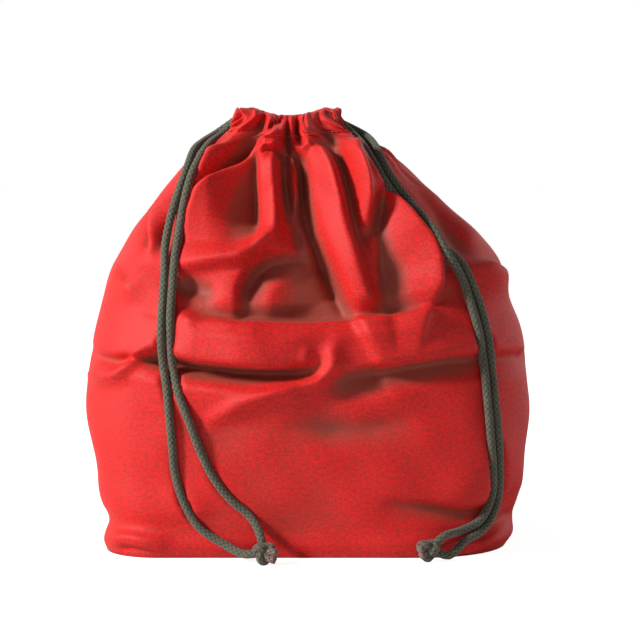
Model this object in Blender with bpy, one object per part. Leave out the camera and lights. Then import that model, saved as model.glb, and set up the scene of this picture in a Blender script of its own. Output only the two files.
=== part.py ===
"""A drawstring kit bag that stands on its base with its mouth drawn almost shut.

Two cloth panels are sewn together at the sides and to a flat base. The top of each panel is turned
down inside and sewn along one line, which makes a casing. Two cords run right round through the
casing, one above the other. Each comes out at its own side and has its two ends tied in one knot.
Metres, +Z up. The origin is on the floor at the middle of the base, and the front faces -Y.
"""

import math

import bpy
import numpy as np
from mathutils import Vector

# Cloth and the small gap that is kept between pieces that touch
CLOTH = 0.001
GAP = 0.0003

# Base: the outline that the panels are sewn to
BASE_WIDTH = 0.294
BASE_DEPTH = 0.164
BASE_CORNER = 0.040
BASE_FRONT_RIGHT_CORNER = 0.066

# Body, from the floor up: each rise is measured from the level below it
HEEL_RISE = 0.008
HEEL_WIDTH = 0.304
HEEL_DEPTH = 0.174
WAIST_RISE = 0.010
WAIST_WIDTH = 0.301
WAIST_DEPTH = 0.172
BELLY_RISE = 0.094
BELLY_WIDTH = 0.329
BELLY_DEPTH = 0.190
LEDGE_RISE = 0.053
LEDGE_WIDTH = 0.316
LEDGE_DEPTH = 0.186
SHOULDER_RISE = 0.045
SHOULDER_WIDTH = 0.292
SHOULDER_DEPTH = 0.164
SLOPE_RISE = 0.044
SLOPE_WIDTH = 0.218
SLOPE_DEPTH = 0.124
SLOPE_SHIFT = -0.0067  # sideways, as the neck leans to the left
THROAT_RISE = 0.030
THROAT_WIDTH = 0.156
THROAT_DEPTH = 0.086
THROAT_SHIFT = -0.0096

# Casing: the ring that the cords follow, and the cloth around it
RING_WIDTH = 0.062
RING_DEPTH = 0.032
RING_SHIFT = -0.014
SEAM_ABOVE_THROAT = 0.018
CASING_HEIGHT = 0.0185
RING_DIP = 0.003
HEM_TURN = 0.0035
SIDE_OPENING = 0.0155
TUCK_BELOW_SEAM = 0.0028  # where the turned-in hem ends

# How square the outline is at shares of the seam's height: 0 is an oval, 1 a rounded rectangle
SQUARE_AT = (0, 0.1, 0.4, 0.75, 1)
SQUARENESS = (1, 0.8, 0.35, 0.25, 1)

# Gathers
PLEATS_PER_PANEL = 9
STEPS_PER_PLEAT = 4
OUTER_RUFFLE = 0.0034
INNER_RUFFLE = 0.0017
SEAM_RUFFLE = 0.0030
BROAD_RUFFLE = 0.0018
RUFFLE_REACH = 0.022
BROAD_RUFFLE_BELOW_SEAM = 0.035
DIP_REACH = 0.030
FOLDS_END_BELOW_SEAM = 0.004
FOLDS_FULL_BELOW_SEAM = 0.028
THICKNESS_LEVEL_WITHIN = 0.012  # below the seam, where the cloth's thickness turns level
SIDE_FADE = 0.35

# Rows of the mesh in each rise between the body's levels, up to the throat
ROWS_IN_RISE = (1, 1, 4, 5, 3, 3, 2)

# Cords
CORD = 0.006
CORD_EASE = 0.001
CORD_SIDES = 2  # bevel resolution, which gives eight sides
TAIL_STEP = 0.0170
LOOP_STEP = 0.0078
LOWER_LEVEL = 0.0051  # above the casing's seam, at the cord's centre
UPPER_LEVEL = 0.0116
LEAVES_RING = 0.14  # share of half the ring from the cord's own side, where it turns outward

# Where the cords' free ends lie, in millimetres, from the side opening down the front to the knot
LEFT_FRONT_TAIL = (
    (-51, -3.6, 316.1), (-63.8, -8.6, 303.1), (-72.2, -25.4, 295.7), (-78.5, -42, 284.9),
    (-84, -55.5, 270.9), (-88.8, -59.9, 251.1), (-91.9, -64.9, 231.7), (-94.2, -74, 213.5),
    (-95.5, -78.9, 193.8), (-96.5, -86.5, 174.7), (-96.4, -87.3, 154.5), (-95, -82.5, 134.8),
    (-90.2, -90.6, 116.8), (-82.9, -93.5, 98.1), (-75.8, -92.2, 78.9), (-67.3, -89.8, 60.5),
    (-55.3, -89, 44), (-39.9, -89.5, 30.5), (-33.1, -98.2, 19.1), (-31.9, -101.9, 14.8),
)
LEFT_BACK_TAIL = (
    (-51, 3.6, 316.1), (-67.5, 6.4, 304.7), (-78, -9.5, 297.1), (-83.3, -28.8, 290.6),
    (-87.2, -45, 277.5), (-92.8, -55.4, 260.5), (-98.5, -58.6, 240.4), (-101.6, -66.3, 221.2),
    (-101.6, -73.9, 201.9), (-102.5, -81.1, 182.2), (-103.2, -87.8, 161.2), (-102.5, -82.7, 141.5),
    (-99.7, -86.1, 123), (-97.5, -89.5, 102.6), (-95.7, -88.6, 81.6), (-93.8, -86.7, 60.8),
    (-87.7, -86.2, 40.8), (-77, -87.7, 23), (-59.6, -90.1, 11.9), (-42.8, -101.1, 6.2),
    (-37.7, -103.6, 7.2),
)
RIGHT_FRONT_TAIL = (
    (23, -3.6, 312.6), (33.8, -16.7, 302.4), (40.4, -34, 294.3), (47.9, -48.4, 281.6),
    (56.3, -58.6, 266.4), (68, -64.1, 250.5), (79.3, -69.1, 234.1), (94.5, -69.7, 222.8),
    (110.2, -70.2, 209.8), (119, -71.7, 191.6), (125.5, -71.1, 172.2), (130.1, -69.2, 152.5),
    (132.2, -68.5, 132.6), (134, -73.6, 113), (136.2, -72.8, 92.6), (137.9, -68.7, 72.8),
    (138.6, -63.5, 53), (136.4, -60.7, 33.1), (126.5, -70.1, 18.9), (112.4, -83.3, 12.6),
    (98.3, -95.1, 4.2), (93, -96.1, 6.2),
)
RIGHT_BACK_TAIL = (
    (23, 3.6, 312.6), (39.1, 0, 304.4), (45.9, -18, 298.8), (51.1, -35.8, 290.3), (56.9, -50, 277.2),
    (66.8, -58.2, 261.7), (79.5, -63.2, 246.8), (90.5, -73, 233.2), (99.1, -78.4, 217.8),
    (109.7, -74.9, 199.7), (116.5, -75.3, 180.6), (122.2, -74.1, 161.2), (125.5, -71.1, 141.5),
    (127.5, -75.3, 121.8), (129.4, -77.1, 101.9), (131.3, -74.8, 81.8), (133.2, -70.4, 62.1),
    (132.8, -65.7, 42.3), (124.5, -71.2, 26), (108.4, -81.2, 19.1), (96.2, -94.8, 17.6),
    (91.7, -95.9, 14.1),
)

# Knots: the middle of each one and the way its cut ends point, in millimetres, and its shape
LEFT_KNOT = (-30.2, -107.2, 8.5)
LEFT_ENDS = (14.0, -7.5, -3.2)
RIGHT_KNOT = (85.2, -97.5, 9.0)
RIGHT_ENDS = (-13.0, -9.0, -3.4)
KNOT_RADIUS = 0.008
KNOT_SIDES = 4
ENDS_RADIUS = 0.0042
ENDS_TAPER = 0.85
ENDS_LENGTH = 0.007

# Colour and roughness
RED_CLOTH = ((0.66, 0.022, 0.022), 0.8)
DARK_CORD = ((0.075, 0.075, 0.05), 0.7)

SEAM_HEIGHT = (
    HEEL_RISE + WAIST_RISE + BELLY_RISE + LEDGE_RISE + SHOULDER_RISE + SLOPE_RISE + THROAT_RISE
    + SEAM_ABOVE_THROAT
)
COLUMNS = PLEATS_PER_PANEL * STEPS_PER_PLEAT


def stations():
    """Heights of the body's levels, with half widths and half depths there, floor to seam line."""
    rises = (0, HEEL_RISE, WAIST_RISE, BELLY_RISE, LEDGE_RISE, SHOULDER_RISE, SLOPE_RISE,
             THROAT_RISE, SEAM_ABOVE_THROAT)
    seam_out = 2 * (CORD / 2 + SEAM_RUFFLE)
    widths = (BASE_WIDTH, HEEL_WIDTH, WAIST_WIDTH, BELLY_WIDTH, LEDGE_WIDTH, SHOULDER_WIDTH,
              SLOPE_WIDTH, THROAT_WIDTH, RING_WIDTH + seam_out)
    depths = (BASE_DEPTH, HEEL_DEPTH, WAIST_DEPTH, BELLY_DEPTH, LEDGE_DEPTH, SHOULDER_DEPTH,
              SLOPE_DEPTH, THROAT_DEPTH, RING_DEPTH + seam_out)
    return np.cumsum(rises), np.array(widths) / 2, np.array(depths) / 2


def lean(z):
    """How far to the side the middle of the bag lies at a height."""
    levels = stations()[0]
    shifts = np.array([0, 0, 0, 0, 0, 0, SLOPE_SHIFT, THROAT_SHIFT, RING_SHIFT])
    return smooth_through(z, levels, shifts)


def smooth_through(at, knots, values):
    """A smooth curve through the values, with the slope at each knot taken from its neighbours."""
    slopes = np.gradient(values, knots)
    i = np.clip(np.searchsorted(knots, at, side="right") - 1, 0, len(knots) - 2)
    span = knots[i + 1] - knots[i]
    t = np.clip((at - knots[i]) / span, 0, 1)
    return ((1 + 2 * t) * (1 - t) ** 2 * values[i] + t * (1 - t) ** 2 * span * slopes[i]
            + t * t * (3 - 2 * t) * values[i + 1] - t * t * (1 - t) * span * slopes[i + 1])


def rounded_half(half_width, half_depth, left_corner, right_corner, share):
    """Half a rounded rectangle from its left side to its right, bulging to +Y, at shares of its length."""
    left = min(left_corner, half_width, half_depth)
    right = min(right_corner, half_width, half_depth)
    flat = 2 * half_width - left - right
    lengths = np.array([half_depth - left, math.pi / 2 * left, flat, math.pi / 2 * right,
                        half_depth - right])
    starts = np.concatenate([[0], np.cumsum(lengths)])
    s = share * starts[-1]
    turn_left = np.clip((s - starts[1]) / max(left, 1e-9), 0, math.pi / 2)
    turn_right = np.clip((s - starts[3]) / max(right, 1e-9), 0, math.pi / 2)
    along = np.clip(s - starts[2], 0, flat)
    x = -half_width + left * (1 - np.cos(turn_left)) + along + right * np.sin(turn_right)
    y = (np.clip(s, 0, lengths[0]) + left * np.sin(turn_left) - right * (1 - np.cos(turn_right))
         - np.clip(s - starts[4], 0, lengths[4]))
    return np.stack([x, y], axis=-1)


def oval_half(half_width, half_depth, share):
    """Half an oval from its left end to its right, bulging to +Y."""
    turn = math.pi * share
    return np.stack([-half_width * np.cos(turn), half_depth * np.sin(turn)], axis=-1)


# Folds of the front panel. Each is a ridge (height above 0) or a hollow (below 0) along a path of
# (across, up) points: across runs from -1 at the left seam to 1 at the right one, and up from 0 at
# the floor to 1 at the casing's seam. Width and height are in metres.
FRONT_FOLDS = (
    # Ridges and hollows that fan out from the gathers
    ("left_ridge", [(-0.77, 0.99), (-0.67, 0.935), (-0.74, 0.855)], 0.012, 0.008),
    ("left_hollow", [(-0.42, 0.965), (-0.42, 0.89), (-0.49, 0.83)], 0.017, -0.011),
    ("column_ridge", [(-0.30, 0.99), (-0.16, 0.925), (-0.14, 0.845), (-0.22, 0.715)], 0.012, 0.010),
    ("shelf_ridge", [(-0.22, 0.73), (-0.37, 0.72), (-0.55, 0.705)], 0.012, 0.007),
    ("bowl", [(-0.06, 0.70), (-0.18, 0.65), (-0.28, 0.61)], 0.018, -0.009),
    ("middle_hollow", [(-0.02, 0.985), (-0.06, 0.89), (-0.05, 0.70)], 0.011, -0.012),
    ("middle_ridge", [(0.19, 0.985), (0.12, 0.89), (0.14, 0.75), (0.19, 0.60)], 0.013, 0.010),
    ("right_hollow", [(0.40, 0.975), (0.29, 0.845), (0.25, 0.705), (0.28, 0.60)], 0.012, -0.008),
    ("inner_right_ridge", [(0.72, 0.99), (0.41, 0.89), (0.40, 0.81), (0.38, 0.745)], 0.012, 0.006),
    ("cup_hollow", [(0.65, 0.96), (0.51, 0.855), (0.46, 0.77)], 0.012, -0.008),
    ("outer_right_ridge", [(0.80, 0.975), (0.63, 0.865), (0.65, 0.76), (0.67, 0.67)], 0.014, 0.009),
    ("cord_groove", [(0.76, 0.94), (0.76, 0.845), (0.76, 0.72)], 0.012, -0.005),
    # Where the cloth slumps over itself
    ("ledge", [(-0.58, 0.566), (-0.21, 0.566), (0.15, 0.566), (0.60, 0.576)], 0.013, 0.008),
    ("under_ledge", [(-0.52, 0.523), (-0.03, 0.520), (0.55, 0.532)], 0.011, -0.004),
    ("side_crease", [(-1.0, 0.475), (-0.84, 0.46), (-0.46, 0.454), (0.10, 0.443)], 0.011, -0.009),
    ("side_fold", [(-0.88, 0.475), (-0.76, 0.491), (-0.63, 0.508)], 0.010, 0.005),
    ("hook_ridge", [(0.13, 0.492), (0.10, 0.441), (-0.19, 0.397), (-0.43, 0.332)], 0.016, 0.006),
    ("right_crease", [(0.16, 0.436), (0.53, 0.453), (0.97, 0.468)], 0.014, -0.006),
    # The lower body
    ("belly_hollow", [(-0.03, 0.333), (0.18, 0.324), (0.40, 0.341)], 0.024, -0.004),
    ("right_waist", [(0.56, 0.124), (0.76, 0.099), (1.02, 0.058)], 0.012, -0.007),
    ("left_waist", [(-0.99, 0.063), (-0.66, 0.081)], 0.011, -0.005),
)

# Folds of the back panel, in the same way. Left and right are as seen from the front.
BACK_FOLDS = (
    ("far_left_ridge", [(-0.72, 0.98), (-0.76, 0.86), (-0.80, 0.72)], 0.013, 0.009),
    ("left_hollow", [(-0.48, 0.96), (-0.52, 0.84), (-0.50, 0.70)], 0.014, -0.011),
    ("left_ridge", [(-0.22, 0.98), (-0.30, 0.82), (-0.26, 0.64)], 0.013, 0.011),
    ("middle_hollow", [(0.04, 0.97), (0.00, 0.84), (-0.06, 0.68)], 0.013, -0.012),
    ("middle_ridge", [(0.24, 0.98), (0.28, 0.84), (0.20, 0.66)], 0.012, 0.010),
    ("right_hollow", [(0.50, 0.96), (0.52, 0.82), (0.58, 0.68)], 0.015, -0.011),
    ("far_right_ridge", [(0.74, 0.98), (0.82, 0.84), (0.86, 0.66)], 0.014, 0.010),
    ("ledge", [(-0.86, 0.585), (-0.40, 0.555), (0.20, 0.57), (0.84, 0.55)], 0.016, 0.007),
    ("crease", [(-0.55, 0.455), (0.05, 0.440), (0.62, 0.475), (1.02, 0.50)], 0.010, -0.010),
    ("side_crease", [(-1.02, 0.50), (-0.80, 0.49)], 0.010, -0.010),
    ("low_ridge", [(-0.50, 0.30), (0.00, 0.34), (0.50, 0.28)], 0.020, 0.004),
    ("left_waist", [(-1.02, 0.085), (-0.70, 0.10)], 0.010, -0.005),
    ("right_waist", [(0.70, 0.105), (1.02, 0.100)], 0.010, -0.007),
)


def fold_height(folds, x, z):
    """How far the folds lift the cloth at points of the panel's front view, in metres."""
    levels, half_widths, _ = stations()
    lift = np.zeros_like(x)
    for _, path, width, height in folds:
        across, up = np.array(path).T
        heights = up * SEAM_HEIGHT
        half = smooth_through(heights, levels, half_widths)
        line = np.stack([across * half + lean(heights), heights], axis=-1)
        nearest = np.full(x.shape, np.inf)
        for start, end in zip(line[:-1], line[1:]):
            way = end - start
            t = np.clip(((x - start[0]) * way[0] + (z - start[1]) * way[1]) / (way @ way), 0, 1)
            away = np.hypot(x - start[0] - t * way[0], z - start[1] - t * way[1])
            nearest = np.minimum(nearest, away)
        lift += height * np.exp(-((nearest / width) ** 2))
    return lift


def body_rows():
    """Heights of the panel's rows below the casing's seam: close together where the cloth creases."""
    levels = stations()[0]
    rows = [np.linspace(a, b, n, endpoint=False)
            for a, b, n in zip(levels[:-2], levels[1:-1], ROWS_IN_RISE)]
    return np.concatenate([*rows, [levels[-2], (levels[-2] + levels[-1]) / 2, levels[-1]]])


def pleat_wave(share):
    """The gathers' wave along a panel, from -1 to 1, with each pleat a little unlike the next."""
    turns = share * PLEATS_PER_PANEL
    strength = 0.86 + 0.14 * np.sin(2.4 * np.floor(turns) + 1)
    return np.sin(2 * math.pi * turns) * strength


def outward(points):
    """Unit normals of a grid of rows and columns that bulges to +Y, on its outer side."""
    up = np.gradient(points, axis=0)
    along = np.gradient(points, axis=1)
    normal = np.cross(up, along)
    normal[:, [0, -1], 1] = 0
    return normal / np.linalg.norm(normal, axis=2, keepdims=True)


def body_points(folds, right_corner):
    """Outer and inner points of a panel from the floor to the casing's seam, bulging to +Y."""
    levels, half_widths, half_depths = stations()
    rows = body_rows()
    share = np.linspace(0, 1, COLUMNS + 1)
    up = rows / SEAM_HEIGHT
    squareness = np.interp(up, SQUARE_AT, SQUARENESS)
    points = np.zeros((len(rows), len(share), 3))
    for i, z in enumerate(rows):
        a = smooth_through(z, levels, half_widths)
        b = smooth_through(z, levels, half_depths)
        corners = [np.interp(up[i], [0, 1], [r, RING_DEPTH]) for r in (BASE_CORNER, right_corner)]
        square = rounded_half(a, b, *corners, share)
        oval = oval_half(a, b, share)
        points[i, :, :2] = squareness[i] * square + (1 - squareness[i]) * oval
        points[i, :, 0] += lean(z)
        points[i, :, 2] = z
    normals = outward(points)
    below_seam = SEAM_HEIGHT - points[..., 2:]
    level = normals * (1, 1, 0)
    level /= np.linalg.norm(level, axis=2, keepdims=True)
    way = normals + (level - normals) * np.exp(-((below_seam / THICKNESS_LEVEL_WITHIN) ** 2))
    way /= np.linalg.norm(way, axis=2, keepdims=True)
    below_seam = below_seam[..., 0]
    calm_by_the_seam = np.clip((below_seam - FOLDS_END_BELOW_SEAM)
                               / (FOLDS_FULL_BELOW_SEAM - FOLDS_END_BELOW_SEAM), 0, 1)
    flat_on_floor = np.clip(points[..., 2] / (HEEL_RISE + WAIST_RISE), 0, 1)
    lift = fold_height(folds, points[..., 0], points[..., 2]) * calm_by_the_seam * flat_on_floor
    for _ in range(2):
        lift[:, 1:-1] = (lift[:, :-2] + 2 * lift[:, 1:-1] + lift[:, 2:]) / 4
    lift += SEAM_RUFFLE * np.exp(-((below_seam / RUFFLE_REACH) ** 2)) * pleat_wave(share)
    below_broad = below_seam - BROAD_RUFFLE_BELOW_SEAM
    lift += (BROAD_RUFFLE * np.exp(-((below_broad / RUFFLE_REACH) ** 2))
             * np.sin(math.pi * PLEATS_PER_PANEL * share - 0.6))
    lift *= np.sin(math.pi * share) ** SIDE_FADE
    outer = points + way * lift[..., None]
    inner = outer - way * CLOTH
    for face in (outer, inner):
        face[..., 2] += (RING_DIP * np.cos(2 * math.pi * share)
                         * np.exp(-((below_seam / DIP_REACH) ** 2)))
        face[0, :, 2] = 0
    return outer, inner


def casing_points():
    """Outer and inner points of a casing: up outside the cords, over, and down to the tucked hem."""
    share = np.linspace(0, 1, COLUMNS + 1)
    wave = 0.5 + 0.5 * pleat_wave(share)
    clear = CORD / 2 + CORD_EASE + CLOTH
    top = SEAM_HEIGHT + CASING_HEIGHT
    lower = SEAM_HEIGHT + 0.25 * CASING_HEIGHT
    upper = top - HEM_TURN
    outside = clear + 2 * OUTER_RUFFLE * wave
    inside = -clear - 2 * INNER_RUFFLE * wave
    over = (outside + inside) / 2
    tuck = np.full_like(share, CORD / 2 - 2 * CLOTH - 2 * GAP)
    rows = (
        # offset from the ring, height, share of the side opening, and the way to the inner face
        (outside, lower, 1.0, (-1, 0)),
        (outside, upper, 0.8, (-1, 0)),
        (0.6 * outside + 0.4 * over, top - 0.25 * HEM_TURN, 0.35, (-0.7, -0.7)),
        (over, top, 0.30, (0, -1)),
        (0.6 * inside + 0.4 * over, top - 0.25 * HEM_TURN, 0.35, (0.7, -0.7)),
        (inside, upper, 0.8, (1, 0)),
        (inside, lower, 1.0, (1, 0)),
        (0.6 * inside, SEAM_HEIGHT + 0.0005, 1.0, (0.8, 0.6)),
        (tuck, SEAM_HEIGHT - TUCK_BELOW_SEAM, 0.9, (0.7, 0.7)),
    )
    half_depth = RING_DEPTH / 2
    half_length = math.pi * half_depth + 2 * (RING_WIDTH / 2 - half_depth)
    faces = ([], [])
    for offset, height, opening, (aside, up) in rows:
        skipped = opening * SIDE_OPENING / 2 / half_length
        at = skipped + (1 - 2 * skipped) * share
        ring = rounded_half(RING_WIDTH / 2, half_depth, half_depth, half_depth, at)
        step = (rounded_half(RING_WIDTH / 2, half_depth, half_depth, half_depth, at + 1e-4)
                - rounded_half(RING_WIDTH / 2, half_depth, half_depth, half_depth, at - 1e-4))
        out = np.stack([-step[:, 1], step[:, 0]], axis=-1)
        out /= np.linalg.norm(out, axis=1, keepdims=True)
        z = height + RING_DIP * np.cos(2 * math.pi * at)
        for face, depth in zip(faces, (0, CLOTH)):
            plan = ring + out * (offset + depth * aside)[:, None] + (RING_SHIFT, 0)
            face.append(np.column_stack([plan, z + depth * up]))
    return np.array(faces[0]), np.array(faces[1])


def add(name, shape, finish, folder):
    """An object in the bag's collection with a material of its own, of one colour and roughness."""
    obj = bpy.data.objects.new(name, shape)
    folder.objects.link(obj)
    colour, roughness = finish
    material = bpy.data.materials.new(name)
    material.use_nodes = True
    shader = material.node_tree.nodes["Principled BSDF"]
    shader.inputs["Base Color"].default_value = (*colour, 1)
    shader.inputs["Roughness"].default_value = roughness
    shader.inputs["Metallic"].default_value = 0
    material.diffuse_color = (*colour, 1)
    shape.materials.append(material)
    return obj


def panel(name, side, folds, right_corner, folder):
    """One cloth panel with its casing, lofted between its outer and inner faces."""
    faces_of = zip(body_points(folds, right_corner), casing_points())
    outer, inner = (np.concatenate(parts) for parts in faces_of)
    points = np.stack([outer, inner])
    points[..., 1] = side * np.maximum(points[..., 1], GAP / 2)
    rows, columns = outer.shape[:2]
    index = np.arange(2 * rows * columns).reshape(2, rows, columns)
    corners = [index[:, :-1, :-1], index[:, :-1, 1:], index[:, 1:, 1:], index[:, 1:, :-1]]
    place = outer.reshape(-1, 3)
    a, b, c, d = (corner[0].ravel() for corner in corners)
    rising = (np.linalg.norm(place[a] - place[c], axis=1)
              < np.linalg.norm(place[b] - place[d], axis=1))[:, None]
    first = np.where(rising, np.stack([a, b, c], axis=-1), np.stack([a, b, d], axis=-1))
    second = np.where(rising, np.stack([a, c, d], axis=-1), np.stack([b, c, d], axis=-1))
    outside = np.concatenate([first, second])
    inside = outside[:, ::-1] + rows * columns
    rim = np.concatenate([index[:, 0, :].T, index[:, 1:, -1].T, index[:, -1, -2::-1].T,
                          index[:, -2:0:-1, 0].T])
    following = np.roll(rim, -1, axis=0)
    edge = np.concatenate([np.stack([rim[:, 0], rim[:, 1], following[:, 1]], axis=-1),
                           np.stack([rim[:, 0], following[:, 1], following[:, 0]], axis=-1)])
    faces = np.concatenate([outside, inside, edge])
    if side > 0:
        faces = faces[:, ::-1]
    mesh = bpy.data.meshes.new(name)
    mesh.from_pydata(points.reshape(-1, 3).tolist(), [], faces.tolist())
    mesh.shade_smooth()
    mesh.set_sharp_from_angle(angle=math.radians(40))
    add(name, mesh, RED_CLOTH, folder)


def base_panel(folder):
    """The flat base, cut to lie inside the panels' lower edges."""
    share = np.linspace(0, 1, COLUMNS + 1)
    inset = CLOTH + 2 * GAP
    outline = []
    for side, right in ((-1, BASE_FRONT_RIGHT_CORNER), (1, BASE_CORNER)):
        half = rounded_half(BASE_WIDTH / 2 - inset, BASE_DEPTH / 2 - inset, BASE_CORNER - inset,
                            right - inset, share)
        points = [(x, side * y) for x, y in half]
        outline += points[:-1] if side < 0 else points[:0:-1]
    curve = bpy.data.curves.new("base_panel", "CURVE")
    curve.dimensions = "2D"
    curve.fill_mode = "BOTH"
    curve.extrude = CLOTH / 2
    spline = curve.splines.new("POLY")
    spline.points.add(len(outline) - 1)
    for point, (x, y) in zip(spline.points, outline):
        point.co = (x, y, 0, 1)
    spline.use_cyclic_u = True
    add("base_panel", curve, RED_CLOTH, folder).location.z = CLOTH / 2


def tube(name, points, radii, sides, folder):
    """A round solid along a line of points, with a radius at each point and flat ends."""
    curve = bpy.data.curves.new(name, "CURVE")
    curve.dimensions = "3D"
    curve.bevel_depth = 1
    curve.bevel_resolution = sides
    curve.use_fill_caps = True
    spline = curve.splines.new("POLY")
    spline.points.add(len(points) - 1)
    for point, place, radius in zip(spline.points, points, radii):
        point.co = (*place, 1)
        point.radius = radius
    spline.use_smooth = True
    add(name, curve, DARK_CORD, folder)


def smooth_route(points):
    """Points along a cord's tail, about one tail step apart, that end straight into the knot."""
    *points, end = np.array(points) / 1000
    points = np.array(points)
    along = np.concatenate([[0], np.cumsum(np.linalg.norm(np.diff(points, axis=0), axis=1))])
    steps = np.linspace(0, along[-1], round(along[-1] / TAIL_STEP) + 1)
    curve = [smooth_through(steps, along, points[:, axis]) for axis in range(3)]
    return np.vstack([np.column_stack(curve), end])


def drawcord(name, own_side, level, front_tail, back_tail, folder):
    """One cord: knot, up its front tail, round the casing, and down its back tail to the knot."""
    half_depth = RING_DEPTH / 2
    half_length = math.pi * half_depth + 2 * (RING_WIDTH / 2 - half_depth)
    share = np.linspace(LEAVES_RING, 1, round((1 - LEAVES_RING) * half_length / LOOP_STEP) + 1)
    plan = rounded_half(RING_WIDTH / 2, half_depth, half_depth, half_depth, share) * (-own_side, 1)
    height = SEAM_HEIGHT + level + RING_DIP * np.cos(2 * math.pi * share)
    front = np.column_stack([plan[:, 0] + RING_SHIFT, -plan[:, 1], height])
    back = np.column_stack([plan[:, 0] + RING_SHIFT, plan[:, 1], height])
    points = np.concatenate([smooth_route(front_tail)[::-1], front, back[-2::-1],
                             smooth_route(back_tail)])
    tube(name, points, [CORD / 2] * len(points), CORD_SIDES, folder)


def knot(name, middle, ends, folder):
    """A round lump that stands for the knot, with a short stub for the cord's two cut ends."""
    middle = np.array(middle) / 1000
    way = Vector(ends).normalized()
    turns = np.radians(np.arange(-75, 46, 20))
    stub = KNOT_RADIUS + np.array([0, 0.45, 1]) * ENDS_LENGTH
    along = np.concatenate([KNOT_RADIUS * np.sin(turns), stub])
    radii = [*(KNOT_RADIUS * np.cos(turns)), ENDS_RADIUS, ENDS_RADIUS, ENDS_TAPER * ENDS_RADIUS]
    tube(name, middle + np.outer(along, way), radii, KNOT_SIDES, folder)


def main():
    for obj in list(bpy.data.objects):
        bpy.data.objects.remove(obj)
    folder = bpy.data.collections.new("kit_bag")
    bpy.context.scene.collection.children.link(folder)
    panel("front_panel", -1, FRONT_FOLDS, BASE_FRONT_RIGHT_CORNER, folder)
    panel("back_panel", 1, BACK_FOLDS, BASE_CORNER, folder)
    base_panel(folder)
    drawcord("left_drawcord", -1, UPPER_LEVEL, LEFT_FRONT_TAIL, LEFT_BACK_TAIL, folder)
    drawcord("right_drawcord", 1, LOWER_LEVEL, RIGHT_FRONT_TAIL, RIGHT_BACK_TAIL, folder)
    knot("left_knot", LEFT_KNOT, LEFT_ENDS, folder)
    knot("right_knot", RIGHT_KNOT, RIGHT_ENDS, folder)


main()
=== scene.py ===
"""Looks of a red drawstring kit bag that stands slumped on its base, with two dark braided cords."""
import math

import bpy
import numpy as np
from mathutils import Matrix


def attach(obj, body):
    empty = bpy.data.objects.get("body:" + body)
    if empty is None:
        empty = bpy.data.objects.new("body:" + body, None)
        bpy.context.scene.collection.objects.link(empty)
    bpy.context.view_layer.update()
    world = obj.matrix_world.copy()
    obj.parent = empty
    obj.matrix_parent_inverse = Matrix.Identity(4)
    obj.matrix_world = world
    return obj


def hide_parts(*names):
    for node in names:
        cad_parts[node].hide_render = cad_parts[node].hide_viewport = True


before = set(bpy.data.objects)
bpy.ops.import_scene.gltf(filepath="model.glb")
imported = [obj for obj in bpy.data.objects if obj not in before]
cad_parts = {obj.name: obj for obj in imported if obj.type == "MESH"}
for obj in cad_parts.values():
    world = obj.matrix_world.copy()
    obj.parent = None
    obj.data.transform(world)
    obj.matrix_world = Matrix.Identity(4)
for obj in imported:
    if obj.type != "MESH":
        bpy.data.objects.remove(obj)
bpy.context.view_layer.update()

# Camera
# A long lens 1.45 m in front of the bag that looks 4 degrees down, as the photograph does.
camera_data = bpy.data.cameras.new("camera")
camera_data.sensor_width = 36
camera_data.lens = 108.73
camera = bpy.data.objects.new("camera", camera_data)
camera.location = (0.009, -1.4465, 0.2657)
camera.rotation_euler = (math.radians(86), 0, 0)
bpy.context.scene.collection.objects.link(camera)
bpy.context.scene.camera = camera
bpy.context.scene.view_settings.view_transform = "Standard"

# Shape of the cloth
# The body is two panels of woven cotton, sewn to each other at the sides and to a flat base. It is
# loosely filled, so it widens from the base to a belly, slumps over itself and runs in to the neck.
LEVELS = np.array([0, 0.008, 0.018, 0.050, 0.112, 0.165, 0.188, 0.210, 0.254, 0.284, 0.302])
HALF_WIDTHS = np.array([0.147, 0.1515, 0.1495, 0.1575, 0.1645, 0.158, 0.150, 0.143, 0.107, 0.0735, 0.043])
HALF_DEPTHS = np.array([0.082, 0.087, 0.086, 0.0905, 0.095, 0.093, 0.088, 0.082, 0.062, 0.046, 0.034])
SHIFTS = np.array([0, 0.0015, 0.003, 0.002, 0, 0, -0.0015, 0.001, -0.007, -0.0095, -0.014])
SQUARE_AT = (0, 0.1, 0.4, 0.75, 1)
SQUARENESS = (1, 0.8, 0.35, 0.25, 1)
BACK_CORNER = 0.040
FRONT_RIGHT_CORNER = 0.066
SEAM_HEIGHT = 0.302
RING_WIDTH = 0.062
RING_DEPTH = 0.032
RING_SHIFT = -0.014
CLOTH = 0.001
COLUMNS = 200
BODY_ROWS = 168


def smooth_through(at, knots, values):
    """A smooth curve through the values, with the slope at each knot taken from its neighbours."""
    slopes = np.gradient(values, knots, axis=0)
    i = np.clip(np.searchsorted(knots, at, side="right") - 1, 0, len(knots) - 2)
    span = knots[i + 1] - knots[i]
    t = np.clip((at - knots[i]) / span, 0, 1)
    more = (1,) * (np.ndim(values) - 1)
    span = span.reshape(*span.shape, *more)
    t = t.reshape(*t.shape, *more)
    return ((1 + 2 * t) * (1 - t) ** 2 * values[i] + t * (1 - t) ** 2 * span * slopes[i]
            + t * t * (3 - 2 * t) * values[i + 1] - t * t * (1 - t) * span * slopes[i + 1])


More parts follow.
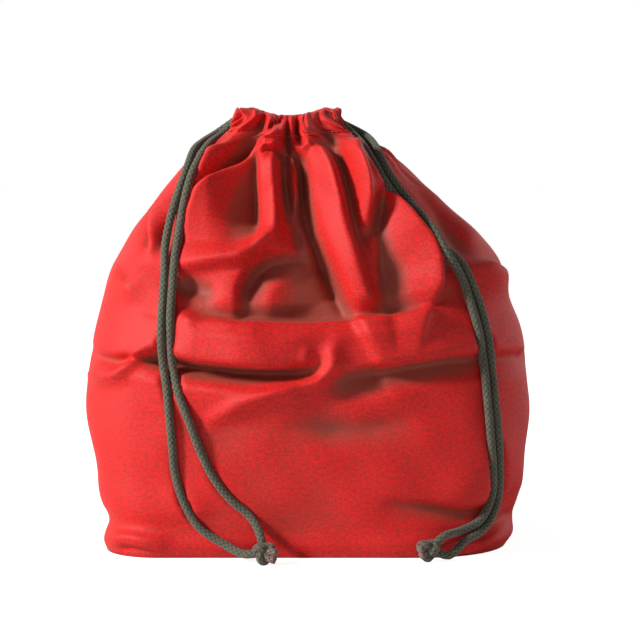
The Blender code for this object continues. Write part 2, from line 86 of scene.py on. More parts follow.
def rounded_half(half_width, half_depth, left_corner, right_corner, share):
    """Half a rounded rectangle from its left side to its right, bulging to +Y: straight runs joined
    by a quarter circle at each corner, at shares of the whole length."""
    left = np.minimum(left_corner, np.minimum(half_width, half_depth))
    right = np.minimum(right_corner, np.minimum(half_width, half_depth))
    flat = 2 * half_width - left - right
    runs = np.stack([half_depth - left, math.pi / 2 * left, flat, math.pi / 2 * right,
                     half_depth - right])
    starts = np.concatenate([np.zeros_like(runs[:1]), np.cumsum(runs, axis=0)])
    s = share * starts[-1]
    turn_left = np.clip((s - starts[1]) / left, 0, math.pi / 2)
    turn_right = np.clip((s - starts[3]) / right, 0, math.pi / 2)
    along = np.clip(s - starts[2], 0, flat)
    x = -half_width + left * (1 - np.cos(turn_left)) + along + right * np.sin(turn_right)
    y = (np.clip(s, 0, runs[0]) + left * np.sin(turn_left) - right * (1 - np.cos(turn_right))
         - np.clip(s - starts[4], 0, runs[4]))
    return np.stack([x, y], axis=-1)


def smooth_wall(share, heights, right_corner):
    """The panel without folds, bulging to +Y: at each height a blend of a rounded rectangle and an
    oval whose widths and depths run smoothly through the measured levels."""
    z = heights[:, None]
    a = smooth_through(z, LEVELS, HALF_WIDTHS)
    b = smooth_through(z, LEVELS, HALF_DEPTHS)
    up = z / SEAM_HEIGHT
    corners = [r + (RING_DEPTH - r) * up for r in (BACK_CORNER, right_corner)]
    square = rounded_half(a, b, *corners, share[None, :])
    turn = math.pi * share[None, :]
    oval = np.stack([-a * np.cos(turn), b * np.sin(turn)], axis=-1)
    mix = np.interp(up, SQUARE_AT, SQUARENESS)[..., None]
    plan = mix * square + (1 - mix) * oval
    plan[..., 0] += smooth_through(z, LEVELS, SHIFTS)
    return np.concatenate([plan, np.broadcast_to(z[..., None], (*plan.shape[:2], 1))], axis=-1)


def outward(points):
    """Unit normals of a grid of rows and columns: the cross product of its two directions."""
    normal = np.cross(np.gradient(points, axis=0), np.gradient(points, axis=1))
    return normal / np.maximum(np.linalg.norm(normal, axis=2, keepdims=True), 1e-12)


def fold_lift(folds, x, z):
    """How far the folds lift the wall and let it droop, in metres: each fold's height, carried along
    its path, dies away with distance from the path, at its own rate on either side. Sharpness 0 makes
    two flat slopes that meet at the path, and a number above 0 a rounded ridge or groove."""
    lift = np.zeros_like(x)
    droop = np.zeros_like(x)
    for _, (on_left, on_right), sharpness, hang, path in folds:
        path = np.array(path) / 1000
        best = np.full(x.shape, np.inf)
        height = np.zeros_like(x)
        side = np.zeros_like(x)
        for start, end in zip(path[:-1], path[1:]):
            way = end[:2] - start[:2]
            dx, dz = x - start[0], z - start[1]
            t = np.clip((dx * way[0] + dz * way[1]) / (way @ way), 0, 1)
            away = np.hypot(dx - t * way[0], dz - t * way[1])
            nearer = away < best
            best = np.where(nearer, away, best)
            height = np.where(nearer, start[2] + t * (end[2] - start[2]), height)
            side = np.where(nearer, way[0] * dz - way[1] * dx, side)
        reach = np.where(side > 0, on_left, on_right) / 1000
        near = best / reach
        shape = np.exp(-(near ** sharpness)) if sharpness else np.clip(1 - near, 0, 1)
        lift += height * shape
        droop += hang / 1000 * shape
    return lift, droop


# Folds of the front: strokes drawn over the photograph. Each has how far it reaches to the
# left and to the right as one goes along it, in millimetres, its sharpness, its droop, and its path,
# with x and y in pixels of the 640 x 640 picture and a height in millimetres.
FRONT_STROKES = (
    ("first_crest", (4, 9), 0, 0, (
        (257, 111, 3), (253, 120, 5), (248, 129, 6), (241, 137, 7), (233, 147, 8), (218, 160, 8),
        (207, 172, 6), (200, 182, 2))),
    ("first_groove", (3, 5), 1.6, 0, (
        (263, 116, -3), (262, 126, -5), (255, 141, -7), (246, 151, -7), (237, 160, -6), (222, 169, -5),
        (207, 180, -3))),
    ("left_tuft", (3.4, 3.4), 1.8, 0, ((243, 109, 3), (240, 118, 4), (236, 126, 3))),
    ("tuft_groove", (1.6, 1.6), 2, 0, ((246, 110, -2), (244, 120, -3), (239, 130, -2))),
    ("fan_crest", (32, 4), 0, 0, (
        (271, 113, 4), (269, 122, 5), (264, 133, 6), (256, 146, 8), (244, 160, 9), (228, 171, 9),
        (210, 184, 9), (199, 196, 9), (190, 214, 7), (184, 236, 3))),
    ("fan_valley", (2, 32), 0, 0, (
        (262, 140, -6), (257, 158, -20), (255.5, 190, -23), (255.5, 212, -18), (255, 230, -5))),
    ("column_head", (6, 10), 1.8, 0, (
        (282, 117, 4), (279, 126, 6), (276, 136, 8), (274, 144, 8), (272, 149, 5))),
    ("petal", (1.7, 1.7), 2, 0, ((269, 128, -4), (274, 123, -9), (279, 119, -9), (283, 116, -4))),
    ("petal_lip", (1.6, 2.4), 1.8, 0, ((268, 132, 3), (275, 130, 6), (281, 125, 6), (285, 118, 3))),
    ("first_tight_pleat", (1.4, 1.4), 1.6, 0, ((286.5, 116, -4), (287.5, 130, -5), (289, 148, -5))),
    ("column_hook", (2, 7), 1.5, 0, (
        (256, 163, -2), (262, 155, -6), (271, 150, -8), (282, 151, -6), (289, 158, -2))),
    ("column", (6, 15), 0, 0, (
        (274, 156, 8), (275, 165, 14), (275.5, 190, 16), (276, 215, 15), (276, 235, 10), (276, 248, 3))),
    ("column_groove", (4, 4), 1.6, 0, (
        (285, 158, -3), (286, 180, -5), (290, 205, -6), (294, 228, -5), (300, 250, -3))),
    ("second_column", (2.5, 8), 0, 0, (
        (294, 156, 5), (296, 170, 11), (296.5, 195, 12), (294, 218, 9), (292, 235, 3))),
    ("dark_valley", (3, 4), 1.6, 0, (
        (294, 150, -3), (300, 163, -9), (302, 180, -13), (305, 200, -13), (312, 224, -11),
        (322, 250, -9), (334, 278, -7), (347, 306, -3))),
    ("slit", (1.4, 1.4), 1.6, 0, ((296.5, 116, -6), (297, 130, -8), (297.5, 140, -4))),
    ("slit_left_lip", (1.8, 2), 1.8, 0, ((291, 116, 3), (292, 132, 5), (296, 147, 4))),
    ("slit_right_lip", (3, 5), 1.8, 0, ((307, 117, 4), (308, 132, 6), (308, 143, 6), (302, 150, 4))),
    ("long_ridge", (9, 18), 0, 0, (
        (310, 116, 6), (312, 128, 9), (316, 142, 12), (322, 156, 15), (330, 175, 17), (337, 200, 18),
        (346, 232, 17), (357, 264, 15), (368, 296, 11), (377, 313, 2))),
    ("long_groove", (3, 6), 1.5, 0, (
        (316, 117, -4), (321, 127, -5), (328, 136, -7), (336, 150, -9), (341, 163, -9), (345, 180, -9),
        (349, 200, -8), (357, 235, -7), (367, 268, -6), (379, 302, -3))),
    ("inner_right_ridge", (3, 12), 0, 0, (
        (326, 120, 3), (333, 129, 4), (343, 141, 5), (352, 155, 6), (359, 169, 8), (366, 188, 8),
        (369, 207, 7), (368, 226, 3))),
    ("cup", (3, 6), 1.6, 0, (
        (378, 176, -2), (382, 192, -6), (381, 212, -8), (376, 230, -6), (364, 238, -2))),
    ("plane_valley", (38, 3), 0, 0, (
        (384, 196, -6), (381, 215, -9), (379, 240, -10), (382, 270, -10), (387, 302, -5))),
    ("plane_crest", (2.8, 36), 0, 0, (
        (337, 131, 5), (350, 147, 12), (364, 166, 18), (379, 185, 20), (392, 200, 21), (405, 214, 22),
        (417, 229, 22), (428, 244, 20), (436, 262, 18), (439, 285, 18), (432, 306, 9))),
    ("right_shoulder", (10, 8), 2, 0, (
        (384, 150, 1), (410, 176, 2), (436, 200, 3), (462, 230, 3), (486, 262, 2), (500, 290, 1))),
    ("right_shoulder_hollow", (7, 7), 1.6, 0, (
        (404, 168, -3), (440, 210, -5), (466, 246, -6), (500, 258, -4))),
    ("shoulder_patch", (5, 14), 1.6, 0, ((468, 268, 3), (486, 266, 4), (504, 272, 3))),
    ("left_shoulder_crease", (2.2, 3), 1.6, 0, (
        (206, 164, -3), (185, 181, -5), (165, 198, -6), (150, 214, -8), (147, 228, -7), (146, 244, -3))),
    ("left_shoulder_ridge", (7, 3), 1.6, 0, (
        (198, 178, 2), (178, 192, 4), (160, 206, 6), (153, 217, 6), (151, 235, 4), (150, 250, 1))),
    ("left_shoulder_dent", (4, 3), 2, 0, ((168, 222, -3), (161, 238, -6), (156, 250, -2))),
    ("left_crescent", (4, 8), 1.8, 0, ((112, 262, 1), (120, 280, 3), (131, 289, 4), (141, 276, 2))),
    ("shelf", (5, 15), 0, 0, (
        (276, 232, 4), (266, 243, 14), (254, 252, 18), (242, 259, 18), (218, 262, 13), (184, 267, 6))),
    ("bowl", (20, 2.5), 0, 0, (
        (300, 252, -3), (284, 251, -7), (266, 256, -10), (250, 268, -11), (242, 284, -10),
        (239, 303, -5))),
    ("bowl_slope", (3, 68), 0, 0, ((316, 236, -10), (329, 262, -24), (340, 290, -26), (350, 310, -12))),
    ("left_hollow", (7, 7), 2, 0, ((176, 284, -2), (188, 287, -4), (205, 292, -3))),
    ("ledge_hook", (4, 5), 1.6, 0, ((174, 301, 2), (182, 310, 3), (192, 319, 4))),
    ("ledge_valley", (12, 1.5), 0, 0, (
        (196, 314, -3), (230, 318, -8), (280, 318, -9), (330, 317, -9), (380, 314, -7), (428, 309, -4))),
    ("ledge_edge", (1.2, 6), 0, -2, (
        (180, 318, 1), (197, 323, 4), (240, 324, 4), (300, 324, 4), (350, 322, 4), (395, 319, 4),
        (430, 313, 4), (440, 305, 1))),
    ("ledge", (13, 30), 0, 0, (
        (168, 324, 4), (198, 334, 11), (240, 337, 14), (300, 337, 14), (345, 335, 12), (395, 331, 9),
        (430, 323, 7), (458, 310, 2))),
    ("side_crease", (5, 3), 1.4, 0, (
        (92, 354, -5), (104, 360, -8), (118, 362, -6), (134, 358, -9), (163, 365, -16),
        (200, 371, -21), (250, 375, -20), (300, 376, -12), (322, 373, -4))),
    ("side_fold", (9, 4), 1.4, 3, (
        (98, 346, 2), (118, 350, 5), (137, 349, 7), (158, 341, 7), (178, 350, 9), (200, 356, 9),
        (240, 360, 9), (290, 361, 6))),
    ("s_ridge", (3, 5), 1.8, 0, (
        (92, 374, 2), (104, 377, 4), (118, 373, 5), (128, 364, 5), (138, 352, 4))),
    ("elbow", (8, 5), 1.5, 0, (
        (332, 350, 4), (331, 366, 7), (318, 378, 8), (280, 387, 6), (240, 402, 4), (212, 420, 2))),
    ("small_elbow", (3, 3), 2, 0, ((307, 352, 3), (305, 362, 4), (300, 370, 2))),
    ("below_crease", (6, 26), 0, 0, ((140, 378, 2), (175, 386, 4), (230, 391, 5), (290, 392, 3))),
    ("right_band", (2.8, 18), 0, 0, (
        (343, 379, -3), (375, 373, -6), (410, 367, -8), (440, 362, -8), (480, 357, -7), (520, 354, -5))),
    ("over_band", (12, 3), 1.6, 0, ((352, 366, 2), (400, 359, 4), (450, 352, 4), (500, 344, 2))),
    ("belly_hollow", (9, 11), 1.8, 0, ((300, 426, -2), (330, 430, -4), (370, 430, -4), (405, 424, -2))),
    ("right_waist", (4, 6), 1.6, 0, (
        (395, 504, -2), (430, 511, -5), (465, 517, -6), (490, 514, -5), (505, 506, -4), (513, 499, -2))),
    ("right_corner_crease", (4, 3), 1.8, 0, (
        (452, 549, -2), (478, 543, -4), (500, 528, -5), (512, 518, -4))),
    ("left_foot_bulge", (5, 4), 2, 0, ((108, 536, 1), (120, 540, 4), (135, 540, 4), (160, 544, 2))),
    ("left_foot_crease", (3, 3), 2, 0, ((113, 552, -2), (125, 549, -5), (145, 553, -4), (170, 556, -2))),
    ("left_low_ridge", (14, 8), 2, 0, ((104, 505, 2), (140, 512, 3), (190, 514, 2))),
)

# How much the strokes' heights are raised: above a row of the picture, below it, or a stroke's own
UPPER_GAIN = 1.85
LOWER_GAIN = 1.35
LOWER_FROM = 300
OWN_GAIN = {
    "fan_crest": 1.8, "fan_valley": 1, "column": 1, "second_column": 1, "dark_valley": 1.6,
    "long_ridge": 1, "long_groove": 1, "plane_valley": 1, "plane_crest": 1, "shelf": 1, "bowl": 1.7,
    "bowl_slope": 1, "ledge_valley": 1, "ledge_edge": 1, "ledge": 1, "side_crease": 1, "side_fold": 1,
    "s_ridge": 1.8, "elbow": 1.7,
}

# The view that the strokes are drawn in, and the plainer wall that they are drawn on
PICTURE = 640
FOCAL_PIXELS = 1933
VIEW_DISTANCE = 1.45
VIEW_DOWN = math.radians(4)
VIEW_TARGET = np.array([0.009, 0, 0.1646])
PLAIN_LEVELS = (0, 0.008, 0.018, 0.112, 0.165, 0.210, 0.254, 0.284, 0.302)
PLAIN_WIDTHS = (0.147, 0.152, 0.1505, 0.1645, 0.158, 0.146, 0.109, 0.078, 0.043)
PLAIN_DEPTHS = (0.082, 0.087, 0.086, 0.095, 0.093, 0.082, 0.062, 0.042, 0.028)
PLAIN_SHIFTS = (0, 0, 0, 0, 0, 0, -0.0067, -0.0096, -0.014)
PLAIN_POWERS = (6, 5, 3, 2.5, 3)


def on_plain_wall(across, down):
    """Where the line of sight through a pixel meets the plain wall's front, as x and z in metres. The
    wall's sections are rounded by a power, and the depth is found by halving the miss each time."""
    ahead = np.array([0, math.cos(VIEW_DOWN), -math.sin(VIEW_DOWN)])
    upward = np.array([0, math.sin(VIEW_DOWN), math.cos(VIEW_DOWN)])
    eye = VIEW_TARGET - VIEW_DISTANCE * ahead
    way = ahead + upward * (PICTURE / 2 - down) / FOCAL_PIXELS
    way[0] = (across - PICTURE / 2) / FOCAL_PIXELS
    y = -0.08
    for _ in range(12):
        x, _, z = eye + way * (y - eye[1]) / way[1]
        half_width, half_depth, shift = (np.interp(z, PLAIN_LEVELS, values)
                                         for values in (PLAIN_WIDTHS, PLAIN_DEPTHS, PLAIN_SHIFTS))
        aside = min(abs((x - shift) / half_width), 0.999)
        power = np.interp(z / SEAM_HEIGHT, SQUARE_AT, PLAIN_POWERS)
        y = (y - half_depth * (1 - aside ** power) ** (1 / power)) / 2
    return x, z


def placed(strokes):
    """The strokes as folds on the wall: x and z to a whole millimetre, heights to half of one."""
    folds = []
    for name, reaches, sharpness, droop, path in strokes:
        points = []
        for across, down, height in path:
            x, z = on_plain_wall(across, down)
            gain = OWN_GAIN.get(name, UPPER_GAIN if down < LOWER_FROM else LOWER_GAIN)
            points.append((round(1000 * x), round(1000 * z), round(2 * height * gain) / 2))
        folds.append((name, reaches, sharpness, droop, points))
    return folds


FRONT_FOLDS = placed(FRONT_STROKES)

# Folds of the back, which are guessed. They are given in the same way, but with x, z and height in
# millimetres as seen from the front.
BACK_FOLDS = (
    ("far_left_ridge", (8, 12), 1.6, 0, ((-58, 292, 2), (-88, 260, 6), (-106, 217, 4))),
    ("left_valley", (9, 14), 1.6, 0, ((-44, 290, -4), (-66, 254, -10), (-72, 211, -4))),
    ("left_ridge", (7, 15), 1.5, 0, ((-30, 296, 3), (-42, 248, 10), (-38, 193, 4))),
    ("middle_valley", (8, 9), 1.6, 0, ((-12, 293, -4), (-8, 254, -11), (-9, 205, -3))),
    ("middle_ridge", (14, 6), 1.5, 0, ((2, 296, 3), (24, 254, 9), (28, 199, 4))),
    ("right_valley", (12, 8), 1.6, 0, ((18, 290, -4), (49, 248, -10), (77, 205, -3))),
    ("far_right_ridge", (7, 12), 1.6, 0, ((26, 292, 2), (64, 254, 7), (104, 199, 4))),
    ("ledge", (14, 5), 1.5, 3, ((-128, 178, 3), (-62, 168, 8), (30, 172, 8), (128, 166, 3))),
    ("crease", (5, 8), 1.6, 0, ((-90, 138, -2), (8, 133, -9), (100, 143, -9), (158, 151, -5))),
    ("left_crease", (5, 6), 1.6, 0, ((-162, 151, -6), (-128, 148, -6), (-100, 150, -1))),
    ("low_ridge", (20, 20), 2, 0, ((-80, 91, 2), (0, 103, 4), (80, 85, 2))),
    ("left_waist", (7, 6), 1.8, 0, ((-152, 26, -4), (-105, 30, -4), (-70, 28, -1))),
    ("right_waist", (7, 6), 1.8, 0, ((80, 32, -1), (110, 32, -6), (152, 30, -1))),
)

# Pleats: where their crests lie along each panel's half of the ring, at the rim and at the casing's
# seam, how far each stands out in millimetres, and how much its lip hangs below the rim
FRONT_PLEATS = np.array([
    (0.000, 0.000, 4.0, 0.0), (0.055, 0.030, 5.0, 0.5), (0.125, 0.070, 7.0, -1.2),
    (0.235, 0.125, 8.0, -1.0), (0.310, 0.235, 5.0, 0.5), (0.390, 0.345, 8.5, 6.5),
    (0.475, 0.455, 2.5, 0.0), (0.525, 0.535, 3.0, 0.5), (0.580, 0.600, 2.5, 0.0),
    (0.635, 0.675, 6.0, 1.5), (0.690, 0.745, 3.0, -1.0), (0.740, 0.800, 3.5, 0.5),
    (0.800, 0.850, 5.0, -1.5), (0.880, 0.905, 8.5, 6.5), (0.950, 0.960, 5.0, 0.5),
    (1.000, 1.000, 4.0, 0.0)])
BACK_PLEATS = np.array([
    (0.00, 0.00, 4.0, 0.0), (0.10, 0.07, 7.0, 0.5), (0.19, 0.16, 5.0, 1.0), (0.27, 0.25, 8.0, 3.5),
    (0.34, 0.33, 4.5, 0.5), (0.41, 0.40, 4.0, 0.5), (0.47, 0.47, 6.0, 1.0), (0.55, 0.55, 4.0, 0.5),
    (0.61, 0.62, 7.5, 4.0), (0.70, 0.71, 5.0, 0.5), (0.77, 0.79, 4.0, 0.5), (0.85, 0.87, 8.0, 2.5),
    (0.93, 0.95, 6.0, 0.5), (1.00, 1.00, 4.0, 0.0)])
CASING_HEIGHT = 0.0185
HEM_TURN = 0.0035
SIDE_OPENING = 0.0155
RING_DIP = 0.003
FLARE = 0.012
MIDDLE_FLARE = 0.006
SEAM_FLARE = 0.55
INNER_PLEAT = 0.4
CORD = 0.006
CORD_ROOM = 0.002


def pleat_at(share, pleats, up):
    """The gathers at a height in the casing, from 0 at its seam to 1 at the rim. Crests lie at the
    listed shares, with sharper valleys between them: the wave from 0 to 1, and each pleat's height
    and lip in metres, carried smoothly from one pleat to the next."""
    crests = pleats[:, 1] + up * (pleats[:, 0] - pleats[:, 1])
    turns = np.interp(share, crests, np.arange(len(pleats)))
    wave = (0.5 + 0.5 * np.cos(2 * math.pi * turns)) ** 0.8
    height, lip = (np.interp(share, crests, pleats[:, column]) / 1000 for column in (2, 3))
    return wave, height, lip


def casing_rows(share, folds, pleats):
    """The casing of a panel: up outside the cords, over the top, down inside and under them. Each
    row follows the ring that the cords lie on, at its own distance outside it and its own height,
    and the folds of the body run on up its outer face."""
    clear = CORD / 2 + CORD_ROOM
    # Height above the seam, and shares of the way from outside to inside, of the lip's drop, of the
    # side opening and of the body's folds: up the outer face, over the top and down the inner face
    stations = (
        (0.0030, 0.00, 0.0, 0.2, 0.9),
        (0.0070, 0.00, 0.0, 0.7, 0.9),
        (0.0120, 0.00, 0.3, 1.0, 0.8),
        (CASING_HEIGHT - HEM_TURN, 0.00, 1.0, 0.8, 0.7),
        (CASING_HEIGHT - 0.25 * HEM_TURN, 0.10, 1.0, 0.4, 0.6),
        (CASING_HEIGHT - 0.60 * HEM_TURN, 0.32, 1.7, 0.3, 0.5),
        (CASING_HEIGHT - 0.10 * HEM_TURN, 0.72, 0.4, 0.3, 0.2),
        (CASING_HEIGHT - 0.20 * HEM_TURN, 0.95, 0.0, 0.4, 0.1),
        (CASING_HEIGHT - HEM_TURN, 1.00, 0.0, 0.8, 0.0),
        (0.0090, 1.00, 0.0, 1.0, 0.0),
        (0.0045, 1.00, 0.0, 1.0, 0.0),
        (0.0005, 0.72, 0.0, 1.0, 0.0),
        (-0.0028, 0.50, 0.0, 0.9, 0.0),
    )
    half_depth = np.array(RING_DEPTH / 2)
    half_width = np.array(RING_WIDTH / 2)
    half_length = math.pi * half_depth + 2 * (half_width - half_depth)
    rows = []
    for rise, inward, drop, opening, folded in stations:
        up = min(max(rise / CASING_HEIGHT, 0), 1)
        wave, height, lip = pleat_at(share, pleats, up)
        outside = clear + height * wave
        flare = FLARE + MIDDLE_FLARE * np.sin(math.pi * share)
        outside += (1 - up) * (flare + SEAM_FLARE * height * wave - outside)
        inside = -clear - INNER_PLEAT * height * wave
        offset = outside + inward * (inside - outside)
        level = SEAM_HEIGHT + rise - drop * lip * wave ** 2
        skipped = opening * SIDE_OPENING / 2 / half_length
        at = skipped + (1 - 2 * skipped) * share
        ring, before, after = (rounded_half(half_width, half_depth, half_depth, half_depth, at + step)
                               for step in (0, -1e-4, 1e-4))
        out = (after - before)[:, ::-1] * (-1, 1)
        out /= np.linalg.norm(out, axis=1, keepdims=True)
        lift, _ = fold_lift(folds, ring[:, 0] + out[:, 0] * offset + RING_SHIFT, level)
        offset = np.maximum(offset + folded * lift, clear + inward * (inside - clear))
        plan = ring + out * offset[:, None] + (RING_SHIFT, 0)
        rows.append(np.column_stack([plan, level + RING_DIP * np.cos(2 * math.pi * at)]))
    return np.array(rows)


DENT_WAVES = 14
DENT_LENGTHS = (0.030, 0.110)
DENT_HEIGHT = 0.00028


def dents(points):
    """Slight uneven dents all over the cloth, in metres: the sum of a few long waves that run in
    different directions, from a fixed seed."""
    random = np.random.default_rng(7)
    total = np.zeros(points.shape[:2])
    for _ in range(DENT_WAVES):
        way = random.normal(size=3)
        way *= 2 * math.pi / random.uniform(*DENT_LENGTHS) / np.linalg.norm(way)
        total += DENT_HEIGHT * np.sin(points @ way + random.uniform(0, 2 * math.pi))
    return total


ROW_SPACING_POWER = 0.94
SEAM_BAND = 0.012
FLOOR_BAND = 0.004
PLEATS_REACH = 0.022
DIP_REACH = 0.030


def panel_points(folds, pleats, right_corner):
    """Outer face of a panel, bulging to +Y, from the floor to the casing's tucked hem: the smooth
    wall is pushed out and in along its normals by the folds and, near the neck, by the pleats. The
    folds die away at the side seams and at the floor."""
    share = np.linspace(0, 1, COLUMNS + 1)
    heights = SEAM_HEIGHT * np.linspace(0, 1, BODY_ROWS + 1) ** ROW_SPACING_POWER
    points = smooth_wall(share, heights, right_corner)
    way = outward(points)
    way[:, [0, -1], 1] = 0
    below = SEAM_HEIGHT - points[..., 2]
    flat = way * (1, 1, 0)
    flat /= np.linalg.norm(flat, axis=2, keepdims=True)
    way += (flat - way) * np.exp(-((below[..., None] / SEAM_BAND) ** 2))
    way /= np.linalg.norm(way, axis=2, keepdims=True)
    lift, droop = fold_lift(folds, points[..., 0], points[..., 2])
    by_the_seam = np.clip(below / SEAM_BAND, 0.8, 1)
    on_floor = np.clip(points[..., 2] / FLOOR_BAND, 0, 1)
    at_sides = np.clip(3 * np.sin(math.pi * share), 0, 1)
    lift *= by_the_seam * on_floor * at_sides
    wave, crest, _ = pleat_at(share, pleats, 0)
    fading = np.exp(-((below / PLEATS_REACH) ** 1.5))
    lift += SEAM_FLARE * (0.4 + 0.6 * at_sides) * wave * crest * fading
    lift += dents(points) * np.clip(below / SEAM_BAND, 0, 1) * on_floor
    points = points + way * lift[..., None]
    points[..., 2] += (RING_DIP * np.cos(2 * math.pi * share) * np.exp(-((below / DIP_REACH) ** 2))
                       - droop * on_floor)
    rows = np.concatenate([points[-1:], casing_rows(share, folds, pleats)])
    finer = np.linspace(0, len(rows) - 1, 3 * (len(rows) - 1) + 1)[1:]
    return np.concatenate([points, smooth_through(finer, np.arange(len(rows)), rows)])


def smoothed(points, rounds, strength=1):
    """A copy of the grid in which each inner point has moved towards the mean of its four neighbours,
    again and again. Strength 1 takes it all the way each time."""
    points = points.copy()
    for _ in range(rounds):
        mean = (points[:-2, 1:-1] + points[2:, 1:-1] + points[1:-1, :-2] + points[1:-1, 2:]) / 4
        points[1:-1, 1:-1] = (1 - strength) * points[1:-1, 1:-1] + strength * mean
    return points


BANK_SLOPE = 7
FAR_ABOVE = 0.030
ROWS_PAST_SEAM = 6


def press(points, paths, reach):
    """Presses the cloth in under the cords that lie on it, along the smooth cloth's normals. Within
    reach of a cord's middle the cloth is kept under the cord's round underside, and beyond it under a
    steep bank that rises away from the cord. Cloth far above a cord is left as it is."""
    way = outward(smoothed(points, 60)).reshape(-1, 3)
    flat = points.reshape(-1, 3).copy()
    body = (BODY_ROWS + ROWS_PAST_SEAM) * points.shape[1]
    for path in paths:
        margin = 4 * reach
        close = ((flat > path.min(axis=0) - margin) & (flat < path.max(axis=0) + margin)).all(axis=1)
        near = np.flatnonzero(close[:body])
        for chunk in np.array_split(near, len(near) // 4000 + 1):
            gap = flat[chunk][:, None] - path[None, ::4]
            out = (gap * way[chunk][:, None]).sum(axis=2)
            aside = np.linalg.norm(gap - out[..., None] * way[chunk][:, None], axis=2)
            nearest = aside.argmin(axis=1)
            pick = (np.arange(len(chunk)), nearest)
            out, aside = out[pick], aside[pick]
            under = -np.sqrt(np.clip(reach ** 2 - aside ** 2, 0, None))
            most = np.where(aside < reach, under, BANK_SLOPE * (aside - reach))
            excess = np.where(out < FAR_ABOVE, np.clip(out - most, 0, None), 0)
            flat[chunk] -= excess[:, None] * way[chunk]
    return flat.reshape(points.shape)


# Painted shade in the folds: how much of it flat cloth gets, and the depth at which it is full
FLAT_PAINTED_SHADE = 0.25
FULL_SHADE_DEPTH = 0.005


def painted_fold_shade(points):
    """Painted shade for the folds, from 0 to 1: how deep each point lies inside a much smoothed copy
    of the cloth, with some already on flat cloth. The cloth's colour turns brown by it where shade falls."""
    smooth = smoothed(points, 240)
    depth = ((smooth - points) * outward(smooth)).sum(axis=2)
    return np.clip(FLAT_PAINTED_SHADE + depth / FULL_SHADE_DEPTH, 0, 1)


def grid_mesh(name, points, side, uv_size):
    """A mesh of quads on a grid of points, with a UV map in metres of flat cloth. The grid bulges to
    +Y; side -1 mirrors it to the front and turns its faces round to match."""
    rows, columns = points.shape[:2]
    index = np.arange(rows * columns).reshape(rows, columns)
    faces = np.stack([index[:-1, :-1], index[:-1, 1:], index[1:, 1:], index[1:, :-1]], axis=-1)
    faces = faces.reshape(-1, 4)
    if side > 0:
        faces = faces[:, ::-1]
    mesh = bpy.data.meshes.new(name)
    mesh.from_pydata((points * (1, side, 1)).reshape(-1, 3).tolist(), [], faces.tolist())
    v, u = np.meshgrid(np.linspace(0, uv_size[1], rows), np.linspace(0, uv_size[0], columns),
                       indexing="ij")
    uv = np.stack([u, v], axis=-1).reshape(-1, 2)[faces.ravel()]
    mesh.uv_layers.new(name="cloth").data.foreach_set("uv", uv.ravel())
    # Painted shade in the folds, kept on the points for the cloth's colour
    painted_shade = mesh.attributes.new("painted_shade", "FLOAT", "POINT")
    painted_shade.data.foreach_set("value", painted_fold_shade(points).ravel())
    mesh.shade_smooth()
    mesh.update()
    return mesh


def add(name, mesh, material):
    """An object at the origin that rides on the bag's only body, with its material and slot."""
    obj = bpy.data.objects.new(name, mesh)
    bpy.context.scene.collection.objects.link(obj)
    mesh.materials.append(material)
    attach(obj, "root")
    return obj


def node(tree, kind, values=(), **settings):
    """A shader node, with values for its inputs by name or number and settings by name."""
    made = tree.nodes.new(kind)
    for key, value in settings.items():
        setattr(made, key, value)
    for key, value in dict(values).items():
        if isinstance(value, bpy.types.NodeSocket):
            tree.links.new(value, made.inputs[key])
        else:
            made.inputs[key].default_value = value
    return made


def blank_material(name, roughness):
    """A new material of one roughness, with its node tree and its shader."""
    material = bpy.data.materials.new(name)
    material.use_nodes = True
    shader = material.node_tree.nodes["Principled BSDF"]
    shader.inputs["Roughness"].default_value = roughness
    return material, material.node_tree, shader


